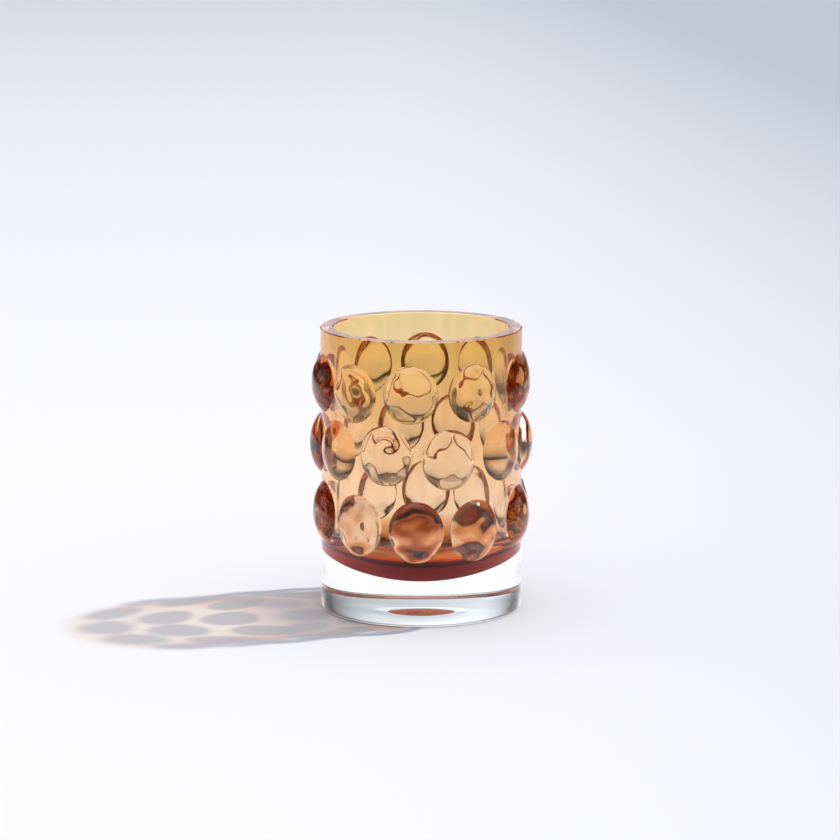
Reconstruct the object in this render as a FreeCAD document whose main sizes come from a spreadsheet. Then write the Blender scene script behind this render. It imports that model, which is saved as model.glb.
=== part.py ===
import FreeCAD, Part
import math
import os
import Sketcher
from FreeCAD import Vector

# Straight-sided glass vase, in millimetres. The origin is the centre of the foot's flat
# face, +Z points up to the mouth, and -Y is the side that faces the viewer.
# An amber cup is cased in clear glass that also runs on below it as the thick foot, and
# three staggered rows of clear bosses (prunts) are fused on the outside of the casing.

SIZES = [
    ("body_radius", 50.0, "outside of the casing"),
    ("body_height", 141.5, "foot face to ground rim"),
    ("casing_wall", 4.3, "clear glass outside the amber"),
    ("cup_wall", 2.4, "amber glass in the side wall"),
    ("foot_depth", 16.5, "clear glass under the cup, on the axis"),
    ("cup_floor", 7.0, "amber glass under the cavity, on the axis"),
    ("cup_dome_radius", 65.0, "bulge of the cup's underside"),
    ("cup_corner_radius", 15.0, "turn of the cup's outside from wall to underside"),
    ("rim_bevel", 0.5, "polished bevel on both edges of the ground rim"),
    ("foot_edge_radius", 2.0, "fire-polished edge round the foot face"),
    ("pontil_radius", 11.0, "ground hollow in the middle of the foot face, half its width"),
    ("pontil_depth", 1.0, "depth of that hollow on the axis"),
    ("first_row_height", 49.3, "foot face to the centres of the lowest prunts"),
    ("last_row_drop", 26.1, "ground rim to the centres of the highest prunts"),
    ("prunts_per_row", 10, "number of prunts round the body"),
    ("prunt_gap", 4.4, "bare wall left between neighbours in a row"),
    ("prunt_rise", 5.4, "height of a prunt's crown over the wall"),
    ("prunt_bulge", 9.0, "radial half axis of the prunt's rounded face"),
]

# Height of each row between the lowest and the highest, and the height of a prunt as a
# share of the mean row spacing.
ROW_HEIGHT_SHARES = {"bottom": 0.0, "middle": 0.53, "top": 1.0}
PRUNT_TALL_SHARES = {"bottom": 0.92, "middle": 0.90, "top": 0.87}

# The prunts are set by hand: where each row starts, how far each one strays sideways in
# shares of the even pitch, and how far up or down in shares of the row spacing.
ROW_TURN_SHARES = {"bottom": -0.07, "middle": -0.54, "top": -0.12}
STRAY_SHARES = {
    "bottom": (-0.01, -0.05, 0.09, 0.04, 0.04, -0.02, -0.05, 0.01, 0.03, 0.0),
    "middle": (-0.03, -0.02, 0.0, -0.01, -0.06, -0.08, -0.08, -0.09, 0.10, 0.0),
    "top": (-0.05, -0.02, 0.14, 0.04, 0.0, 0.05, 0.09, 0.09, 0.05, -0.04),
}
LIFT_SHARES = {
    "bottom": (-0.05, -0.06, 0.0, 0.02, -0.01, 0.01, -0.02, 0.0, 0.05, -0.01),
    "middle": (0.02, -0.03, 0.01, -0.01, 0.0, 0.02, -0.02, 0.01, -0.02, 0.0),
    "top": (0.0, 0.0, 0.01, -0.02, 0.01, 0.02, 0.0, -0.01, 0.0, -0.04),
}

doc = FreeCAD.newDocument("bossed_vase")
sheet = doc.addObject("Spreadsheet::Sheet", "Sizes")
for row, (alias, value, note) in enumerate(SIZES, start=1):
    sheet.set(f"A{row}", note)
    sheet.set(f"B{row}", str(value))
    sheet.setAlias(f"B{row}", alias)
doc.recompute()
size = {alias: float(sheet.get(alias)) for alias, value, note in SIZES}

# Sizes that follow from the sheet, each as the expression that the features are bound to.
ROUND = "360 deg"
SEAT_RADIUS = "(Sizes.body_radius - Sizes.casing_wall)"
CAVITY_RADIUS = f"({SEAT_RADIUS} - Sizes.cup_wall)"
ROW_SPAN = "(Sizes.body_height - Sizes.first_row_height - Sizes.last_row_drop)"
ROW_SPACING = f"({ROW_SPAN} / {len(ROW_HEIGHT_SHARES) - 1})"
PRUNT_WIDTH = "(2 * pi * Sizes.body_radius / Sizes.prunts_per_row - Sizes.prunt_gap)"
PRUNT_SINK = "(Sizes.prunt_bulge - Sizes.prunt_rise)"
WALL_FALL = f"(Sizes.body_radius - sqrt(Sizes.body_radius ^ 2 - ({PRUNT_WIDTH} / 2) ^ 2))"

seat_radius = size["body_radius"] - size["casing_wall"]
cavity_radius = seat_radius - size["cup_wall"]
# The corner arc of the cup's outside touches the wall and the domed underside, and the
# cavity's corner arc has the same centre, so the amber keeps its wall round the turn.
corner_x = seat_radius - size["cup_corner_radius"]
dome_z = size["foot_depth"] + size["cup_dome_radius"]
corner_z = dome_z - math.sqrt((size["cup_dome_radius"] - size["cup_corner_radius"]) ** 2 - corner_x ** 2)
cavity_corner = size["cup_corner_radius"] - size["cup_wall"]
floor_z = size["foot_depth"] + size["cup_floor"]
pontil_bowl = (size["pontil_radius"] ** 2 + size["pontil_depth"] ** 2) / (2 * size["pontil_depth"])
corner_rise = corner_z - floor_z
floor_radius = (corner_x ** 2 + corner_rise ** 2 - cavity_corner ** 2) / (2 * (corner_rise - cavity_corner))


def origin_plane(body, role):
    return next(item for item in body.Origin.OriginFeatures if item.Role == role)


def bind(feature, **expressions):
    for name, expression in expressions.items():
        feature.setExpression(name, expression)


def turn_angle(dome_centre_z):
    """Direction from a dome's centre to where its arc runs into the corner arc."""
    return math.atan2(corner_z - dome_centre_z, corner_x)


class Profile:
    """Half section in the XZ plane: a closed ring of lines and arcs, turned about Z."""

    def __init__(self, body, name):
        self.sketch = body.newObject("Sketcher::SketchObject", name)
        self.sketch.AttachmentSupport = (origin_plane(body, "XZ_Plane"), "")
        self.sketch.MapMode = "FlatFace"

    def line(self, start, end):
        return self.sketch.addGeometry(Part.LineSegment(Vector(*start), Vector(*end)), False)

    def arc(self, centre, radius, start, end):
        circle = Part.Circle(Vector(*centre), Vector(0, 0, 1), radius)
        return self.sketch.addGeometry(Part.ArcOfCircle(circle, start, end), False)

    def rule(self, kind, *parts):
        self.sketch.addConstraint(Sketcher.Constraint(kind, *parts))

    def size(self, name, expression, kind, *parts):
        index = self.sketch.addConstraint(Sketcher.Constraint(kind, *parts))
        self.sketch.renameConstraint(index, name)
        self.sketch.setExpression(f"Constraints.{name}", expression)


# Sketcher's own codes: the points of a line or an arc count up from zero for the whole
# edge, and a sketch's horizontal and vertical axes count down below zero.
_, START, END, CENTRE = range(len(("whole", "start", "end", "centre")))
GROUND = -START
ORIGIN = (GROUND, START)
AXIS = -END


def revolve(body, profile, name):
    feature = body.newObject("PartDesign::Revolution", name)
    feature.Profile = (profile.sketch, [""])
    feature.ReferenceAxis = (profile.sketch, ["V_Axis"])
    bind(feature, Angle=ROUND)
    doc.recompute()
    return feature


def ring_edge(feature, radius, height):
    """Name of the circular edge of this radius that lies at this height."""
    near = size["rim_bevel"] / 2
    for number, edge in enumerate(feature.Shape.Edges, start=1):
        if edge.Degenerated or not isinstance(edge.Curve, Part.Circle):
            continue
        if abs(edge.Curve.Center.z - height) < near and abs(edge.Curve.Radius - radius) < near:
            return f"Edge{number}"
    raise ValueError(f"no ring edge of radius {radius} at height {height}")


def clear_casing():
    """Clear outer gather: the foot, the outer wall and the seat that the cup lies in."""
    body = doc.addObject("PartDesign::Body", "clear_casing")
    body.Label = "clear_casing"
    outline = Profile(body, "casing_profile")
    radius, height = size["body_radius"], size["body_height"]
    bowl_z = size["pontil_depth"] - pontil_bowl
    bowl_turn = math.atan2(-bowl_z, size["pontil_radius"])
    pontil = outline.arc((0, bowl_z), pontil_bowl, bowl_turn, math.pi / 2)
    foot = outline.line((size["pontil_radius"], 0), (radius, 0))
    wall = outline.line((radius, 0), (radius, height))
    rim = outline.line((radius, height), (seat_radius, height))
    seat = outline.line((seat_radius, height), (seat_radius, corner_z))
    turn = turn_angle(dome_z)
    corner = outline.arc((corner_x, corner_z), size["cup_corner_radius"], turn, 0)
    dome = outline.arc((0, dome_z), size["cup_dome_radius"], -math.pi / 2, turn)
    core = outline.line((0, size["foot_depth"]), (0, size["pontil_depth"]))

    outline.rule("PointOnObject", foot, START, GROUND)
    outline.rule("Coincident", pontil, START, foot, START)
    outline.rule("Coincident", foot, END, wall, START)
    outline.rule("Coincident", wall, END, rim, START)
    outline.rule("Coincident", rim, END, seat, START)
    outline.rule("Tangent", seat, END, corner, END)
    outline.rule("Tangent", corner, START, dome, END)
    outline.rule("Coincident", dome, START, core, START)
    outline.rule("Coincident", core, END, pontil, END)
    outline.rule("Horizontal", foot)
    outline.rule("Vertical", wall)
    outline.rule("Horizontal", rim)
    outline.rule("Vertical", seat)
    outline.rule("Vertical", core)
    outline.rule("PointOnObject", dome, CENTRE, AXIS)
    outline.rule("PointOnObject", pontil, CENTRE, AXIS)
    outline.rule("PointOnObject", core, END, AXIS)
    outline.size("outer_radius", "Sizes.body_radius", "DistanceX", *ORIGIN, foot, END, radius)
    outline.size("pontil_width", "Sizes.pontil_radius", "DistanceX", *ORIGIN, foot, START, size["pontil_radius"])
    outline.size("pontil_rise", "Sizes.pontil_depth", "DistanceY", *ORIGIN, core, END, size["pontil_depth"])
    outline.size("height", "Sizes.body_height", "DistanceY", wall, START, wall, END, height)
    outline.size("wall_thickness", "Sizes.casing_wall", "DistanceX", rim, END, rim, START, size["casing_wall"])
    outline.size("seat_corner", "Sizes.cup_corner_radius", "Radius", corner, size["cup_corner_radius"])
    outline.size("seat_dome", "Sizes.cup_dome_radius", "Radius", dome, size["cup_dome_radius"])
    outline.size("foot_depth", "Sizes.foot_depth", "DistanceY", *ORIGIN, core, START, size["foot_depth"])
    casing = revolve(body, outline, "casing_turned")

    edge = body.newObject("PartDesign::Fillet", "foot_edge")
    edge.Base = (casing, [ring_edge(casing, radius, 0)])
    bind(edge, Radius="Sizes.foot_edge_radius")
    doc.recompute()
    bevel = body.newObject("PartDesign::Chamfer", "outer_rim_bevel")
    bevel.Base = (edge, [ring_edge(edge, radius, height)])
    bind(bevel, Size="Sizes.rim_bevel")
    return body


def amber_cup():
    """Amber inner gather: the side wall and the domed floor round the cavity."""
    body = doc.addObject("PartDesign::Body", "amber_cup")
    body.Label = "amber_cup"
    outline = Profile(body, "cup_profile")
    height, foot = size["body_height"], size["foot_depth"]
    under_turn, floor_turn = turn_angle(dome_z), turn_angle(floor_z + floor_radius)
    dome = outline.arc((0, dome_z), size["cup_dome_radius"], -math.pi / 2, under_turn)
    corner = outline.arc((corner_x, corner_z), size["cup_corner_radius"], under_turn, 0)
    wall = outline.line((seat_radius, corner_z), (seat_radius, height))
    rim = outline.line((seat_radius, height), (cavity_radius, height))
    bore = outline.line((cavity_radius, height), (cavity_radius, corner_z))
    bend = outline.arc((corner_x, corner_z), cavity_corner, floor_turn, 0)
    floor = outline.arc((0, floor_z + floor_radius), floor_radius, -math.pi / 2, floor_turn)
    core = outline.line((0, floor_z), (0, foot))

    outline.rule("Tangent", dome, END, corner, START)
    outline.rule("Tangent", corner, END, wall, START)
    outline.rule("Coincident", wall, END, rim, START)
    outline.rule("Coincident", rim, END, bore, START)
    outline.rule("Tangent", bore, END, bend, END)
    outline.rule("Tangent", bend, START, floor, END)
    outline.rule("Coincident", floor, START, core, START)
    outline.rule("Coincident", core, END, dome, START)
    outline.rule("Vertical", wall)
    outline.rule("Horizontal", rim)
    outline.rule("Vertical", core)
    outline.rule("Coincident", bend, CENTRE, corner, CENTRE)
    outline.rule("PointOnObject", dome, CENTRE, AXIS)
    outline.rule("PointOnObject", floor, CENTRE, AXIS)
    outline.rule("PointOnObject", core, END, AXIS)
    outline.size("underside_height", "Sizes.foot_depth", "DistanceY", *ORIGIN, core, END, foot)
    outline.size("floor_thickness", "Sizes.cup_floor", "DistanceY", core, END, core, START, size["cup_floor"])
    outline.size("rim_height", "Sizes.body_height", "DistanceY", *ORIGIN, rim, END, height)
    outline.size("cup_radius", SEAT_RADIUS, "DistanceX", *ORIGIN, wall, END, seat_radius)
    outline.size("cavity_radius", CAVITY_RADIUS, "DistanceX", *ORIGIN, rim, END, cavity_radius)
    outline.size("corner", "Sizes.cup_corner_radius", "Radius", corner, size["cup_corner_radius"])
    outline.size("dome", "Sizes.cup_dome_radius", "Radius", dome, size["cup_dome_radius"])
    cup = revolve(body, outline, "cup_turned")

    bevel = body.newObject("PartDesign::Chamfer", "inner_rim_bevel")
    bevel.Base = (cup, [ring_edge(cup, cavity_radius, height)])
    bind(bevel, Size="Sizes.rim_bevel")
    return body


def prunt(row, number):
    """One fused boss: a rounded lens whose hollow back fits the casing's cylinder."""
    name = f"prunt_{row}_{number + 1:02d}"
    body = doc.addObject("PartDesign::Body", name)
    body.Label = name
    tall = f"({PRUNT_TALL_SHARES[row]} * {ROW_SPACING})"
    blank = body.newObject("PartDesign::AdditiveEllipsoid", f"{name}_blank")
    bind(
        blank,
        Radius1=f"{tall} / 2 / sqrt(1 - ({PRUNT_SINK} / Sizes.prunt_bulge) ^ 2)",
        Radius2=f"{PRUNT_WIDTH} / 2 / sqrt(1 - (({PRUNT_SINK} - {WALL_FALL}) / Sizes.prunt_bulge) ^ 2)",
        Radius3="Sizes.prunt_bulge",
    )
    blank.setExpression("Placement.Base.y", f"{PRUNT_SINK} - Sizes.body_radius")
    wall = body.newObject("PartDesign::SubtractiveCylinder", f"{name}_back")
    bind(wall, Radius="Sizes.body_radius", Height="2 * Sizes.body_height")
    wall.setExpression("Placement.Base.z", "-Sizes.body_height")

    shift = ROW_TURN_SHARES[row] + STRAY_SHARES[row][number % len(STRAY_SHARES[row])]
    lift = LIFT_SHARES[row][number % len(LIFT_SHARES[row])]
    body.setExpression("Placement.Rotation.Angle", f"({number} + {shift}) * {ROUND} / Sizes.prunts_per_row")
    body.setExpression(
        "Placement.Base.z",
        f"Sizes.first_row_height + {ROW_HEIGHT_SHARES[row]} * {ROW_SPAN} + {lift} * {ROW_SPACING}",
    )
    return body


nodes = [clear_casing(), amber_cup()]
for row_name in ROW_HEIGHT_SHARES:
    for place in range(int(size["prunts_per_row"])):
        nodes.append(prunt(row_name, place))
doc.recompute()

for item in doc.Objects:
    if "Invalid" in item.State or "Error" in item.State:
        raise RuntimeError(f"{item.Label} did not build: {item.State}")
for node in nodes:
    shape = node.Shape
    if shape.isNull() or not shape.isValid() or len(shape.Solids) != 1:
        raise RuntimeError(f"{node.Label} is not one sound solid")

os.makedirs("parts", exist_ok=True)
for node in nodes:
    node.Shape.exportStep(f"parts/{node.Label}.step")
    bounds = node.Shape.optimalBoundingBox(False)
    print(f"{node.Label}: {node.Shape.Volume:.1f} mm3, z {bounds.ZMin:.2f} to {bounds.ZMax:.2f}")
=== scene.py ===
import math

import bpy
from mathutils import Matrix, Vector


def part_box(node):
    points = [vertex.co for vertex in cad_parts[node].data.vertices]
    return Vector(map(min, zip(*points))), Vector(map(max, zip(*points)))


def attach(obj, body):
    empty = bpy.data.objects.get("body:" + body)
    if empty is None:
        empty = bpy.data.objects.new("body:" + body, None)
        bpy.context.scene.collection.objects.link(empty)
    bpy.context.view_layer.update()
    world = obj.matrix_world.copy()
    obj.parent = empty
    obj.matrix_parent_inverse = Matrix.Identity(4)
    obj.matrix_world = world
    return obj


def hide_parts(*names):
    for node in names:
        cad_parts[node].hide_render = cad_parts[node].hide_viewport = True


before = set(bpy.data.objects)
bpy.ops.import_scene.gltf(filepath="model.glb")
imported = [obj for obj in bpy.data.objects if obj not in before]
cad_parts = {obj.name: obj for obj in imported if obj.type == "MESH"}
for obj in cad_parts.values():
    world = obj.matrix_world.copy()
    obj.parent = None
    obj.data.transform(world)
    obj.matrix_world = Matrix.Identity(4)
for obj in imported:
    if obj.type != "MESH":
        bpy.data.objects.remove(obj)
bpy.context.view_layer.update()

MM = 0.001

# The vase, in millimetres. Outer sizes are read from the solids; the others are inside the glass.
_, rim_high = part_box("clear_casing")
BODY_RADIUS = rim_high[0] / MM
BODY_HEIGHT = rim_high[2] / MM
CASING_WALL = 4.3
CUP_WALL = 2.4
FOOT_DEPTH = 16.5
CUP_FLOOR = 7.0
CUP_DOME_RADIUS = 65.0
CUP_CORNER_RADIUS = 15.0
RIM_BEVEL = 0.5
FOOT_EDGE_RADIUS = 2.0
PONTIL_RADIUS = 11.0
PONTIL_DEPTH = 1.0
PRUNTS_PER_ROW = 10
PRUNT_GAP = 4.4
PRUNT_RISE = 5.4
PRUNT_BULGE = 9.0

SEAT_RADIUS = BODY_RADIUS - CASING_WALL
CAVITY_RADIUS = SEAT_RADIUS - CUP_WALL

AROUND = 256  # segments round the body
PRUNT_RINGS = 96  # segments and rings of a boss
TIP = 0.5  # radius of the last ring before the axis
SKIN = 0.03  # the amber lies this far inside the clear glass's own surfaces
ROOT = 0.05  # how deep a prunt's melted root goes into the wall
WALL_SLACK = 0.02  # how far from the round wall a point still counts as on it
EDGE_MARGIN = 2.0  # how far the bare wall keeps from the rim and the foot's edge
SMOOTH_ANGLE = math.radians(35)
MERGE = 1e-7  # metres

# Where the picture was taken from, and the sun.
CAMERA_PLACE = (0, -1.8215, 0.4383)
CAMERA_TURN = (math.radians(90 - 10.7), 0, math.radians(0.0184))
SENSOR = 36
FOCAL_PIXELS = 3727.6
PICTURE_PIXELS = 840
SUN_STRENGTH = 2.25
SUN_SPREAD = math.radians(2.5)
SUN_AZIMUTH = math.radians(18.4)
SUN_ELEVATION = math.radians(46)
GLASS_BOUNCES = 128  # light turns many times in thick glass before it comes out


def deselect_all():
    if bpy.context.object and bpy.context.object.mode != "OBJECT":
        bpy.ops.object.mode_set(mode="OBJECT")
    bpy.ops.object.select_all(action="DESELECT")


def pick(piece):
    deselect_all()
    piece.select_set(True)
    bpy.context.view_layer.objects.active = piece


def smooth(piece):
    pick(piece)
    bpy.ops.object.shade_smooth_by_angle(angle=SMOOTH_ANGLE)


def apply_modifier(piece, kind, **settings):
    pick(piece)
    modifier = piece.modifiers.new(kind.title(), kind)
    for name, value in settings.items():
        setattr(modifier, name, value)
    bpy.ops.object.modifier_apply(modifier=modifier.name)


def copy_of(piece, name):
    twin = piece.copy()
    twin.data = piece.data.copy()
    twin.name = name
    bpy.context.collection.objects.link(twin)
    return twin


def arc(centre, radius, start, end, steps):
    """Points of an arc in the half section, from start to end in degrees."""
    turns = [math.radians(start + (end - start) * i / steps) for i in range(steps + 1)]
    return [(centre[0] + radius * math.cos(a), centre[1] + radius * math.sin(a)) for a in turns]


def straight(start, end, steps):
    return [tuple(s + (e - s) * i / steps for s, e in zip(start, end)) for i in range(steps + 1)]


def turned(name, rings):
    """A closed round solid: a circle drawn out ring by ring, closed on the axis at both ends."""
    before = [None] + rings[:-1]
    rings = [ring for ring, last in zip(rings, before) if last is None or math.dist(ring, last) > 1e-6]
    deselect_all()
    radius, height = rings[0]
    bpy.ops.mesh.primitive_circle_add(vertices=AROUND, radius=radius * MM, location=(0, 0, 0))
    piece = bpy.context.object
    piece.name = name
    bpy.ops.object.mode_set(mode="EDIT")
    bpy.ops.mesh.select_all(action="SELECT")
    bpy.ops.transform.translate(value=(0, 0, height * MM))
    bpy.ops.mesh.extrude_region_move()
    bpy.ops.mesh.merge(type="CENTER")
    bpy.ops.mesh.select_all(action="DESELECT")
    bpy.ops.object.mode_set(mode="OBJECT")
    for vertex in piece.data.vertices:
        vertex.select = vertex.co.xy.length > radius * MM / 2
    bpy.ops.object.mode_set(mode="EDIT")
    for wide, high in rings[1:]:
        bpy.ops.mesh.extrude_region_move(TRANSFORM_OT_translate={"value": (0, 0, (high - height) * MM)})
        bpy.ops.transform.resize(value=(wide / radius, wide / radius, 1), center_override=(0, 0, high * MM))
        radius, height = wide, high
    bpy.ops.mesh.extrude_region_move()
    bpy.ops.mesh.merge(type="CENTER")
    bpy.ops.mesh.select_all(action="SELECT")
    bpy.ops.mesh.remove_doubles(threshold=MERGE)
    bpy.ops.mesh.normals_make_consistent(inside=False)
    bpy.ops.object.mode_set(mode="OBJECT")
    return piece


def cup_lines(offset):
    """Half section of the cup: its underside and its inside, each with its corner arc, drawn in by offset."""
    corner_x = SEAT_RADIUS - CUP_CORNER_RADIUS
    dome_z = FOOT_DEPTH + CUP_DOME_RADIUS
    corner_z = dome_z - math.sqrt((CUP_DOME_RADIUS - CUP_CORNER_RADIUS) ** 2 - corner_x ** 2)
    bend = CUP_CORNER_RADIUS - CUP_WALL
    floor_z = FOOT_DEPTH + CUP_FLOOR
    rise = corner_z - floor_z
    floor_radius = (corner_x ** 2 + rise ** 2 - bend ** 2) / (2 * (rise - bend))
    under = math.degrees(math.atan2(corner_z - dome_z, corner_x))
    inside = math.degrees(math.atan2(corner_z - floor_z - floor_radius, corner_x))
    tip = math.degrees(math.asin(TIP / CUP_DOME_RADIUS))
    outer = arc((0, dome_z), CUP_DOME_RADIUS, -90 + tip, under, 24)
    outer += arc((corner_x, corner_z), CUP_CORNER_RADIUS, under, 0, 12)
    inner = arc((corner_x, corner_z), bend + offset, 0, inside, 12)
    inner += arc((0, floor_z + floor_radius), floor_radius + offset, inside, -90 + tip, 24)
    return outer, inner


def glass_vessel():
    """The clear glass as light meets it: foot, outer wall, rim and the skin of the cavity."""
    edge = FOOT_EDGE_RADIUS
    bowl = (PONTIL_RADIUS ** 2 + PONTIL_DEPTH ** 2) / (2 * PONTIL_DEPTH)
    turn = math.degrees(math.asin(PONTIL_RADIUS / bowl))
    tip = math.degrees(math.asin(TIP / bowl))
    rings = arc((0, PONTIL_DEPTH - bowl), bowl, 90 - tip, 90 - turn, 20)
    rings += straight((PONTIL_RADIUS, 0), (BODY_RADIUS - edge, 0), 6)
    rings += arc((BODY_RADIUS - edge, edge), edge, -90, 0, 6)
    rings += straight((BODY_RADIUS, edge), (BODY_RADIUS, BODY_HEIGHT - RIM_BEVEL), 36)
    rings += straight((BODY_RADIUS - RIM_BEVEL, BODY_HEIGHT), (CAVITY_RADIUS + RIM_BEVEL, BODY_HEIGHT), 2)
    inner = cup_lines(0)[1]
    rings += straight((CAVITY_RADIUS, BODY_HEIGHT - RIM_BEVEL), inner[0], 24)
    rings += inner
    return turned("clear_casing_glass", rings)


def amber_shell():
    """The amber gather: a closed shell just under the skin of the cavity."""
    outer, inner = cup_lines(SKIN)
    top = BODY_HEIGHT - RIM_BEVEL
    rings = outer + straight(outer[-1], (SEAT_RADIUS, top), 16)
    rings += straight((SEAT_RADIUS, top), (CAVITY_RADIUS + SKIN, top), 2)
    rings += straight((CAVITY_RADIUS + SKIN, top), inner[0], 16)
    rings += inner
    return turned("amber_cup_glass", rings)


def prunt_form(name, tall, width):
    """A rounded lens at angle 0, whose hollow back fits the wall just under its surface."""
    sink = PRUNT_BULGE - PRUNT_RISE
    fall = BODY_RADIUS - math.sqrt(BODY_RADIUS ** 2 - (width / 2) ** 2)
    half_tall = tall / 2 / math.sqrt(1 - (sink / PRUNT_BULGE) ** 2)
    half_wide = width / 2 / math.sqrt(1 - ((sink - fall) / PRUNT_BULGE) ** 2)
    deselect_all()
    bpy.ops.mesh.primitive_uv_sphere_add(segments=PRUNT_RINGS, ring_count=PRUNT_RINGS, radius=1)
    form = bpy.context.object
    form.name = name
    bpy.ops.object.mode_set(mode="EDIT")
    bpy.ops.mesh.select_all(action="SELECT")
    bpy.ops.transform.rotate(value=math.radians(90), orient_axis="X", center_override=(0, 0, 0))
    bpy.ops.transform.resize(value=(half_wide * MM, PRUNT_BULGE * MM, half_tall * MM), center_override=(0, 0, 0))
    bpy.ops.transform.translate(value=(0, (sink - BODY_RADIUS) * MM, 0))
    bpy.ops.object.mode_set(mode="OBJECT")
    form.data.materials.append(PRUNT_GLASS)
    form.data.materials.append(FUSED_SEAM)
    deselect_all()
    bpy.ops.mesh.primitive_cylinder_add(vertices=AROUND, radius=(BODY_RADIUS - ROOT) * MM, depth=3 * tall * MM)
    wall = bpy.context.object
    wall.data.materials.append(FUSED_SEAM)
    apply_modifier(form, "BOOLEAN", operation="DIFFERENCE", solver="EXACT", object=wall, material_mode="TRANSFER")
    bpy.data.objects.remove(wall)
    return form


def linear(code):
    """Linear colour of an sRGB hex code."""
    parts = [int(code[i:i + 2], 16) / 255 for i in (1, 3, 5)]
    return [c / 12.92 if c <= 0.04045 else ((c + 0.055) / 1.055) ** 2.4 for c in parts] + [1.0]


def new_material(name):
    material = bpy.data.materials.new(name)
    material.use_nodes = True
    material.node_tree.nodes.clear()
    return material, material.node_tree


def add(tree, kind, inputs=None, **settings):
    """A node with its settings; an input is a value, or another node's socket to link from."""
    node = tree.nodes.new(kind)
    for name, value in settings.items():
        setattr(node, name, value)
    for name, value in (inputs or {}).items():
        if isinstance(value, bpy.types.NodeSocket):
            tree.links.new(value, node.inputs[name])
        else:
            node.inputs[name].default_value = value
    return node


def fill_ramp(ramp, stops):
    """Fill a colour ramp with stops, each a place along it and a linear colour."""
    while len(ramp.elements) < len(stops):
        ramp.elements.new(0.5)
    for stop, (place, colour) in zip(ramp.elements, stops):
        stop.position = place
        stop.color = colour


def clear_glass(name, shade, swell, rise):
    """Fire-polished soda-lime glass, colourless: lamps shine through it, dimmed to this shade.

    Hand work leaves low swells on its skin, so what shows through it runs in swirls.
    """
    material, tree = new_material(name)
    place = add(tree, "ShaderNodeTexCoord")
    swells = add(tree, "ShaderNodeTexNoise", {
        "Vector": place.outputs["Object"], "Scale": 1 / (swell * MM), "Detail": 0.0})
    skin = add(tree, "ShaderNodeBump", {"Height": swells.outputs[0], "Distance": rise * MM, "Strength": 1.0})
    glass = add(tree, "ShaderNodeBsdfPrincipled", {
        "Base Color": linear("#FCFEFE"), "Roughness": 0.0, "IOR": 1.5, "Transmission Weight": 1.0,
        "Normal": skin.outputs[0]})
    passed = add(tree, "ShaderNodeBsdfTransparent", {"Color": linear(shade)})
    path = add(tree, "ShaderNodeLightPath")
    mix = add(tree, "ShaderNodeMixShader", {
        0: path.outputs["Is Shadow Ray"], 1: glass.outputs[0], 2: passed.outputs[0]})
    add(tree, "ShaderNodeOutputMaterial", {"Surface": mix.outputs[0]})
    return material


def fused_seam():
    """Where two gathers melted together: one glass, so nothing shows."""
    material, tree = new_material("fused_seam")
    through = add(tree, "ShaderNodeBsdfTransparent", {"Color": (1, 1, 1, 1)})
    add(tree, "ShaderNodeOutputMaterial", {"Surface": through.outputs[0]})
    return material


# Height in millimetres, and how much light the amber passes there; the dark stops low down are partly the thick amber
# floor and partly painted shade of the dim paper under the vase.
AMBER_AND_SHADE_STOPS = [
    (20, (0.20, 0.04, 0.01)),
    (25, (0.42, 0.10, 0.02)),
    (33, (0.86, 0.46, 0.22)),
    (38, (0.99, 0.95, 0.90)),
    (50, (1.00, 0.97, 0.92)),
    (95, (0.96, 0.85, 0.67)),
    (140, (0.93, 0.82, 0.46)),
]


def amber_glass():
    """Amber-coloured gather: honey near the mouth, fading to peach low down, and dark red-brown at the floor, partly
    for the thick amber and partly as painted shade of the dim paper under the vase.

    It is drawn upwards in the making, which leaves faint upright streaks.
    Its shadow is cream under the thin wall and grey under the thick floor.
    """
    material, tree = new_material("amber_gather_glass")
    place = add(tree, "ShaderNodeTexCoord")
    height = add(tree, "ShaderNodeSeparateXYZ", {0: place.outputs["Object"]})
    fade = add(tree, "ShaderNodeMapRange", {"Value": height.outputs["Z"], "From Max": BODY_HEIGHT * MM})
    # Partly painted shade: the ramp's dark low stops darken the cup's floor beyond its thickness, for the dim paper
    # under the vase.
    tint_and_shade = add(tree, "ShaderNodeValToRGB", {"Fac": fade.outputs[0]})
    fill_ramp(tint_and_shade.color_ramp, [(high / BODY_HEIGHT, (*colour, 1.0)) for high, colour in AMBER_AND_SHADE_STOPS])
    drawn = add(tree, "ShaderNodeVectorMath", {
        0: place.outputs["Object"], 1: (1.0, 1.0, 0.04)}, operation="MULTIPLY")
    streak = add(tree, "ShaderNodeTexNoise", {"Vector": drawn.outputs[0], "Scale": 1 / (6 * MM), "Detail": 2.0})
    fine = add(tree, "ShaderNodeMapRange", {
        "Value": streak.outputs[0], "From Min": 0.35, "From Max": 0.65, "To Min": 0.95, "To Max": 1.02})
    tint_and_shade = add(tree, "ShaderNodeVectorMath", {
        0: tint_and_shade.outputs["Color"], "Scale": fine.outputs[0]}, operation="SCALE")
    glass = add(tree, "ShaderNodeBsdfPrincipled", {
        "Base Color": tint_and_shade.outputs[0], "Roughness": 0.0, "IOR": 1.0, "Transmission Weight": 1.0})
    risen = add(tree, "ShaderNodeMapRange", {
        "Value": height.outputs["Z"], "From Min": 0.026, "From Max": 0.048})
    cast = add(tree, "ShaderNodeMix", data_type="RGBA", inputs={
        "Factor": risen.outputs[0], 6: (0.68, 0.68, 0.74, 1.0), 7: (1.0, 1.0, 0.99, 1.0)})
    passed = add(tree, "ShaderNodeBsdfTransparent", {"Color": cast.outputs[2]})
    path = add(tree, "ShaderNodeLightPath")
    mix = add(tree, "ShaderNodeMixShader", {
        0: path.outputs["Is Shadow Ray"], 1: glass.outputs[0], 2: passed.outputs[0]})
    depth = add(tree, "ShaderNodeVolumeAbsorption", {"Color": (0.90, 0.52, 0.12, 1.0), "Density": 186.0})
    add(tree, "ShaderNodeOutputMaterial", {"Surface": mix.outputs[0], "Volume": depth.outputs[0]})
    return material


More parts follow.
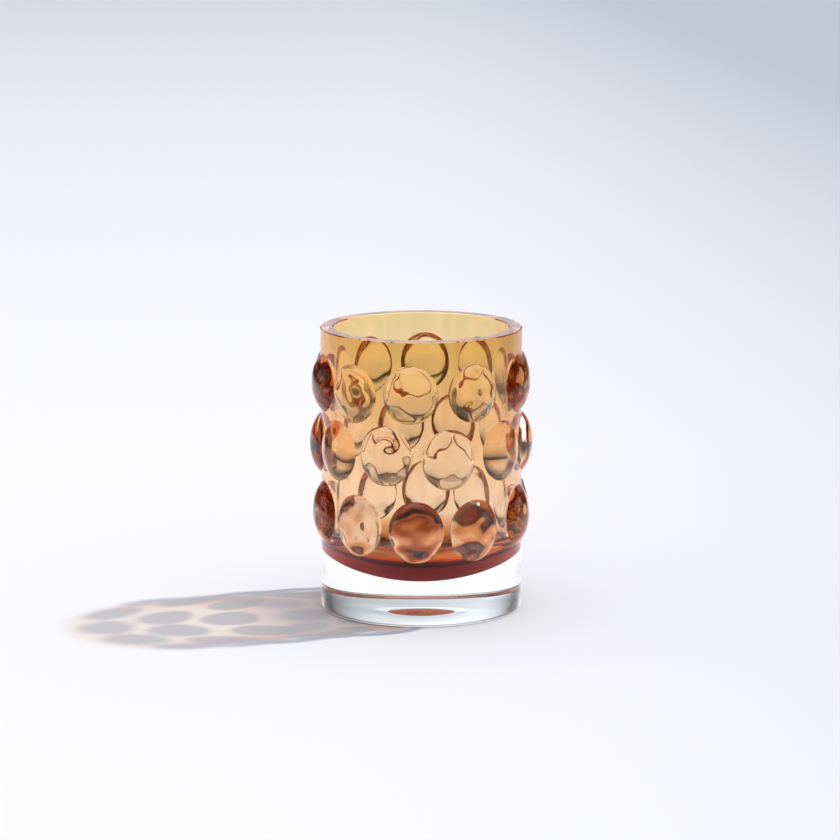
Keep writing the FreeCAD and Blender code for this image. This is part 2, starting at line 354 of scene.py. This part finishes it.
def ground_spot_with_painted_glow():
    """Glass ground matt where the iron was broken off, with painted light: an orange colour and glow stand for the
    light that falls through the amber onto it.
    """
    material, tree = new_material("ground_matt_glass_painted_glow")
    place = add(tree, "ShaderNodeTexCoord")
    grit = add(tree, "ShaderNodeTexNoise", {
        "Vector": place.outputs["Object"], "Scale": 1 / (2.5 * MM), "Detail": 3.0})
    # Painted light: an orange ramp, glowing, for the amber-tinted sunlight on the ground spot.
    painted_amber_light = add(tree, "ShaderNodeValToRGB", {"Fac": grit.outputs[0]})
    fill_ramp(painted_amber_light.color_ramp, [(0.35, linear("#B83806")), (0.65, linear("#EC7C34"))])
    glass = add(tree, "ShaderNodeBsdfPrincipled", {
        "Base Color": painted_amber_light.outputs["Color"], "Roughness": 0.6, "IOR": 1.5, "Transmission Weight": 0.25,
        "Emission Color": painted_amber_light.outputs["Color"], "Emission Strength": 0.35})
    add(tree, "ShaderNodeOutputMaterial", {"Surface": glass.outputs[0]})
    return material


def white_floor():
    """Seamless white paper, with painted shade: a little grey-blue far behind the vase and at the right, where less
    light reaches it.

    What glass shows of it is darker at the sides and in front, where the real paper ends, and carries painted light:
    a faint glow behind the vase, and a stronger painted glow under it, where the sun gathers.
    """
    material, tree = new_material("white_paper_sweep")
    place = add(tree, "ShaderNodeTexCoord")
    way = add(tree, "ShaderNodeSeparateXYZ", {0: place.outputs["Object"]})
    # Painted shade: the paper turns grey-blue far behind the vase and at the right.
    far = add(tree, "ShaderNodeMapRange", {"Value": way.outputs["Y"], "From Min": 0.4, "From Max": 5.8})
    right = add(tree, "ShaderNodeMapRange", {
        "Value": way.outputs["X"], "From Min": -0.1, "From Max": 0.95}, interpolation_type="SMOOTHSTEP")
    back = add(tree, "ShaderNodeMath", {0: far.outputs[0], 1: right.outputs[0]}, operation="ADD")
    shade = add(tree, "ShaderNodeMix", data_type="RGBA", inputs={
        "Factor": back.outputs[0], 6: linear("#F4F4F6"), 7: linear("#BABECB")})
    path = add(tree, "ShaderNodeLightPath")
    through = add(tree, "ShaderNodeMath", {
        0: path.outputs["Is Transmission Ray"], 1: path.outputs["Is Glossy Ray"]}, operation="MAXIMUM")
    aside = add(tree, "ShaderNodeMath", {0: way.outputs["X"]}, operation="ABSOLUTE")
    edge = add(tree, "ShaderNodeMapRange", {
        "Value": aside.outputs[0], "From Min": 0.5, "From Max": 1.3, "To Min": 1.0, "To Max": 0.12})
    near = add(tree, "ShaderNodeMapRange", {
        "Value": way.outputs["Y"], "From Min": -0.26, "From Max": -0.06, "To Min": 0.1, "To Max": 1.0})
    paper_left = add(tree, "ShaderNodeMath", {0: edge.outputs[0], 1: near.outputs[0]}, operation="MULTIPLY")
    lit = add(tree, "ShaderNodeMix", data_type="FLOAT", inputs={
        0: through.outputs[0], 2: 1.0, 3: paper_left.outputs[0]})
    tone = add(tree, "ShaderNodeVectorMath", {0: shade.outputs[2], "Scale": lit.outputs[0]}, operation="SCALE")
    # Painted light: seen through glass, the paper glows a little behind the vase.
    painted_glow = add(tree, "ShaderNodeMath", {0: through.outputs[0], 1: paper_left.outputs[0]}, operation="MULTIPLY")
    fading = add(tree, "ShaderNodeMapRange", {
        "Value": way.outputs["Y"], "From Min": 0.45, "From Max": 0.8, "To Min": 0.25, "To Max": 0.08})
    painted_glow = add(tree, "ShaderNodeMath", {0: painted_glow.outputs[0], 1: fading.outputs[0]}, operation="MULTIPLY")
    # Painted light: a stronger glow on the paper under the vase, where the sun gathers.
    from_vase = add(tree, "ShaderNodeVectorMath", {0: place.outputs["Object"]}, operation="LENGTH")
    under = add(tree, "ShaderNodeMapRange", {
        "Value": from_vase.outputs["Value"], "From Min": 0.035, "From Max": 0.055, "To Min": 0.6, "To Max": 0.0})
    painted_light_strength = add(tree, "ShaderNodeMath", {
        0: through.outputs[0], 1: under.outputs[0], 2: painted_glow.outputs[0]}, operation="MULTIPLY_ADD")
    paper = add(tree, "ShaderNodeBsdfPrincipled", {
        "Base Color": tone.outputs[0], "Roughness": 0.9, "Specular IOR Level": 0.1,
        "Emission Color": linear("#FFFFFF"), "Emission Strength": painted_light_strength.outputs[0]})
    add(tree, "ShaderNodeOutputMaterial", {"Surface": paper.outputs[0]})
    return material


CLEAR_GLASS = clear_glass("fire_polished_clear_glass", "#FBFBFB", 22, 0.12)
PRUNT_GLASS = clear_glass("hot_applied_clear_glass", "#8A8AA2", 8, 0.9)
FUSED_SEAM = fused_seam()
# The ground spot carries painted light: an orange glow.
GROUND_SPOT_AND_GLOW = ground_spot_with_painted_glow()
AMBER_GLASS = amber_glass()


def node_turn(name):
    """Angle of a prunt round the axis from -Y towards +X, from the middle of its node."""
    mesh = bpy.data.objects[name].data
    middle = sum((v.co for v in mesh.vertices), Vector()) / len(mesh.vertices)
    return math.atan2(middle.x, -middle.y)


def on_bare_wall(point):
    """Whether a point lies on the round outer wall, clear of the rim's bevel and the foot's edge."""
    out = abs(point.xy.length - BODY_RADIUS * MM) < WALL_SLACK * MM
    return out and EDGE_MARGIN * MM < point.z < (BODY_HEIGHT - EDGE_MARGIN) * MM


def make_vessel():
    vessel = glass_vessel()
    vessel.data.materials.append(CLEAR_GLASS)
    vessel.data.materials.append(FUSED_SEAM)
    vessel.data.materials.append(GROUND_SPOT_AND_GLOW)
    # The pontil hollow's faces take the ground matt glass with its painted orange glow.
    for face in vessel.data.polygons:
        if face.center.z < PONTIL_DEPTH * MM and face.center.xy.length < PONTIL_RADIUS * MM:
            face.material_index = 2
    smooth(vessel)
    return vessel


def make_amber():
    amber = amber_shell()
    amber.data.materials.append(AMBER_GLASS)
    smooth(amber)
    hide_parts("amber_cup")
    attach(amber, "root")


def make_prunts(names):
    """A prunt for each node, and the same bodies joined in one, to cut their roots from the wall."""
    turns = {name: node_turn(name) for name in names}
    width = 2 * math.pi * BODY_RADIUS / PRUNTS_PER_ROW - PRUNT_GAP
    forms, cutters = {}, []
    for name in names:
        low, high = (Vector(c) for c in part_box(name))
        row = name.split("_")[1]
        if row not in forms:
            forms[row] = prunt_form(f"{row}_form", (high.z - low.z) / MM, width)
        piece = copy_of(forms[row], f"{name}_glass")
        pick(piece)
        bpy.ops.object.mode_set(mode="EDIT")
        bpy.ops.mesh.select_all(action="SELECT")
        bpy.ops.transform.rotate(value=-turns[name], orient_axis="Z", center_override=(0, 0, 0))
        bpy.ops.transform.translate(value=(0, 0, (low.z + high.z) / 2))
        smooth(piece)
        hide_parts(name)
        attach(piece, "root")
        cutter = copy_of(piece, f"{name}_cutter")
        for face in cutter.data.polygons:
            face.material_index = 1
        cutters.append(cutter)
    for form in forms.values():
        bpy.data.objects.remove(form)
    pick(cutters[0])
    for cutter in cutters:
        cutter.select_set(True)
    bpy.ops.object.join()
    return bpy.context.object


def fuse_prunts(vessel, plain, cutter):
    """Cut the prunts' roots from the wall, whose bare part keeps the round shading of the plain vessel."""
    apply_modifier(vessel, "BOOLEAN", operation="DIFFERENCE", solver="EXACT", object=cutter, material_mode="TRANSFER")
    wall = vessel.vertex_groups.new(name="bare_wall")
    wall.add([v.index for v in vessel.data.vertices if on_bare_wall(v.co)], 1.0, "ADD")
    apply_modifier(
        vessel, "DATA_TRANSFER", object=plain, use_loop_data=True, vertex_group="bare_wall",
        data_types_loops={"CUSTOM_NORMAL"}, loop_mapping="POLYINTERP_NEAREST")
    vessel.vertex_groups.clear()
    bpy.data.objects.remove(cutter)
    bpy.data.objects.remove(plain)
    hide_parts("clear_casing")
    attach(vessel, "root")


def lay_floor():
    deselect_all()
    bpy.ops.mesh.primitive_plane_add(size=20, location=(0, 0, -0.0002))
    floor = bpy.context.object
    floor.name = "floor"
    floor.data.materials.append(white_floor())


def hang_sun():
    """A soft sun from the right and a little behind, which lays the shadow out to the left."""
    bpy.ops.object.light_add(type="SUN", location=(1, 0.3, 1))
    sun = bpy.context.object
    sun.data.energy = SUN_STRENGTH
    sun.data.angle = SUN_SPREAD
    level = math.cos(SUN_ELEVATION)
    to_sun = Vector((math.cos(SUN_AZIMUTH) * level, math.sin(SUN_AZIMUTH) * level, math.sin(SUN_ELEVATION)))
    sun.rotation_euler = to_sun.to_track_quat("Z", "Y").to_euler()


# The room from level (0) to overhead (1): pale wall, dark upper wall, pale ceiling.
ROOM_STOPS = [
    (0.00, "#DCDDE0"),
    (0.14, "#FAFAFD"),
    (0.20, "#E8EAEF"),
    (0.25, "#B8BCC4"),
    (0.42, "#C4C8D0"),
    (0.55, "#54565C"),
    (0.68, "#53565D"),
    (0.82, "#F4F4F6"),
]


def set_room():
    """The studio as the glass and the camera see it, and an even soft light for all else.

    It is light behind the vase and overhead, lighter at the left, dim in front, with a pale panel at each side.
    """
    world = bpy.data.worlds.new("studio")
    bpy.context.scene.world = world
    world.use_nodes = True
    tree = world.node_tree
    tree.nodes.clear()
    path = add(tree, "ShaderNodeLightPath")
    direction = add(tree, "ShaderNodeTexCoord")
    up = add(tree, "ShaderNodeSeparateXYZ", {0: direction.outputs["Generated"]})
    ramp = add(tree, "ShaderNodeValToRGB", {"Fac": up.outputs["Z"]})
    fill_ramp(ramp.color_ramp, [(place, linear(code)) for place, code in ROOM_STOPS])
    behind = add(tree, "ShaderNodeMath", {
        0: up.outputs["Z"], 1: 2.0, 2: up.outputs["Y"]}, operation="MULTIPLY_ADD")
    back = add(tree, "ShaderNodeMapRange", {
        "Value": behind.outputs[0], "From Min": 1.0, "From Max": 1.36, "To Min": 0.1, "To Max": 1.3})
    left = add(tree, "ShaderNodeMapRange", {
        "Value": up.outputs["X"], "From Min": -0.6, "From Max": 0.6, "To Min": 1.3, "To Max": 0.75})
    front = add(tree, "ShaderNodeMapRange", {
        "Value": up.outputs["Y"], "From Min": -0.3, "From Max": -0.8, "To Max": 0.5})
    lifted = add(tree, "ShaderNodeMapRange", {"Value": up.outputs["Z"], "From Min": 0.3, "From Max": 0.45})
    front = add(tree, "ShaderNodeMath", {0: front.outputs[0], 1: lifted.outputs[0]}, operation="MULTIPLY")
    aside = add(tree, "ShaderNodeMath", {0: up.outputs["X"]}, operation="ABSOLUTE")
    sides = add(tree, "ShaderNodeMapRange", {
        "Value": aside.outputs[0], "From Min": 0.9, "From Max": 0.96, "To Max": 1.0})
    light = add(tree, "ShaderNodeMath", {0: back.outputs[0], 1: left.outputs[0]}, operation="MULTIPLY")
    light = add(tree, "ShaderNodeMath", {0: light.outputs[0], 1: front.outputs[0]}, operation="ADD")
    light = add(tree, "ShaderNodeMath", {0: light.outputs[0], 1: sides.outputs[0]}, operation="ADD")
    seen = add(tree, "ShaderNodeVectorMath", {
        0: ramp.outputs["Color"], "Scale": light.outputs[0]}, operation="SCALE")
    shown = add(tree, "ShaderNodeMath", {
        0: path.outputs["Is Camera Ray"], 1: path.outputs["Is Glossy Ray"]}, operation="MAXIMUM")
    shown = add(tree, "ShaderNodeMath", {
        0: shown.outputs[0], 1: path.outputs["Is Transmission Ray"]}, operation="MAXIMUM")
    colour = add(tree, "ShaderNodeMix", data_type="RGBA", inputs={
        "Factor": shown.outputs[0], 6: (0.58, 0.58, 0.61, 1.0), 7: seen.outputs[0]})
    room = add(tree, "ShaderNodeBackground", {"Color": colour.outputs[2], "Strength": 1.0})
    add(tree, "ShaderNodeOutputWorld", {"Surface": room.outputs[0]})


def set_camera():
    bpy.ops.object.camera_add(location=CAMERA_PLACE, rotation=CAMERA_TURN)
    view = bpy.context.object
    view.data.sensor_width = SENSOR
    view.data.lens = FOCAL_PIXELS / PICTURE_PIXELS * SENSOR
    view.data.clip_end = 30
    bpy.context.scene.camera = view


prunt_names = sorted(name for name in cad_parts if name.startswith("prunt"))
vessel = make_vessel()
plain = copy_of(vessel, "plain_vessel")
make_amber()
roots = make_prunts(prunt_names)
fuse_prunts(vessel, plain, roots)

lay_floor()
hang_sun()
set_room()
set_camera()

scene = bpy.context.scene
scene.view_settings.view_transform = "Standard"
scene.cycles.max_bounces = GLASS_BOUNCES
scene.cycles.glossy_bounces = GLASS_BOUNCES
scene.cycles.transmission_bounces = GLASS_BOUNCES
scene.cycles.transparent_max_bounces = GLASS_BOUNCES
scene.cycles.caustics_refractive = False
scene.cycles.caustics_reflective = False
